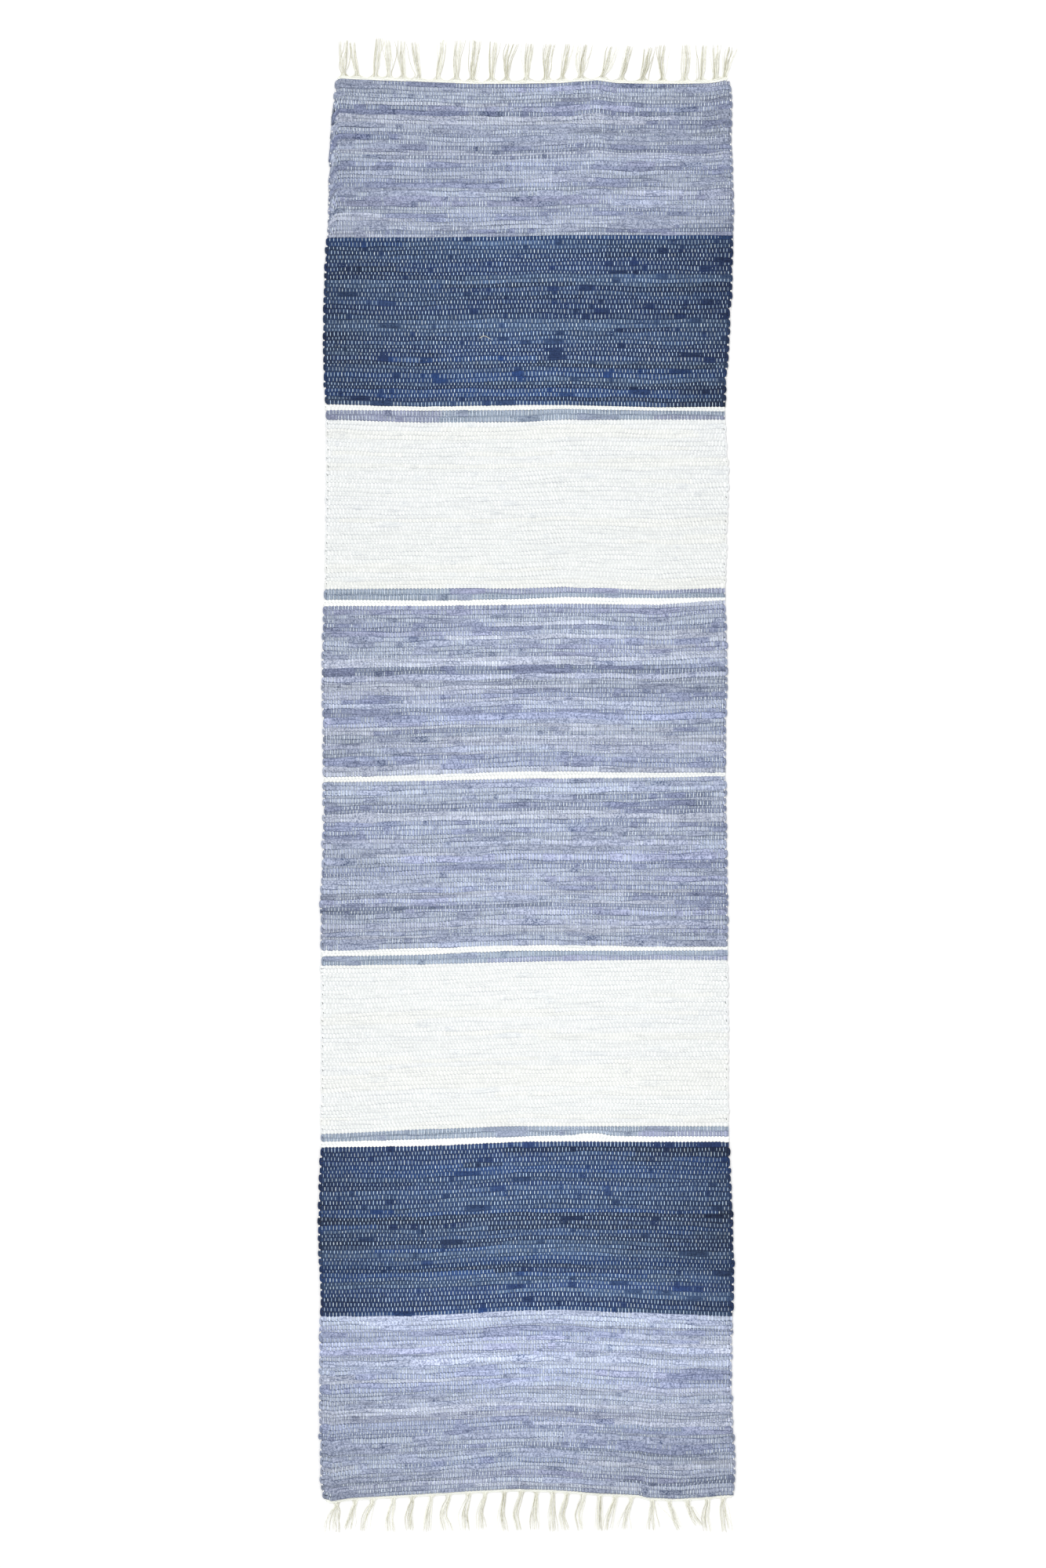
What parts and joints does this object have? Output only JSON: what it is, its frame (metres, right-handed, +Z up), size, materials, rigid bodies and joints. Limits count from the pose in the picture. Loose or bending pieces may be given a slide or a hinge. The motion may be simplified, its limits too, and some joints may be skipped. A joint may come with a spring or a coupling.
{
  "type": "flatweave rag rug",
  "caption": "Long flatweave rag rug with striped bands of lavender, navy and white, wavy selvedges and a fringe of cotton locks at each end.",
  "frame": {"origin": "on the floor, under the middle of the rug with its fringes", "axes": "+X across the rug, +Y along the rug towards the far fringe, +Z up"},
  "size_m": [0.7188, 2.5692, 0.0054],
  "materials": {
    "rag_weave": "matte cotton rag strips in lavender, navy and white bands",
    "cotton_warp": "matte unbleached cotton yarn"
  },
  "bodies": {
    "root": {"cloth": "rag_weave", "fringe_far": "cotton_warp", "fringe_near": "cotton_warp"}
  },
  "joints": []
}
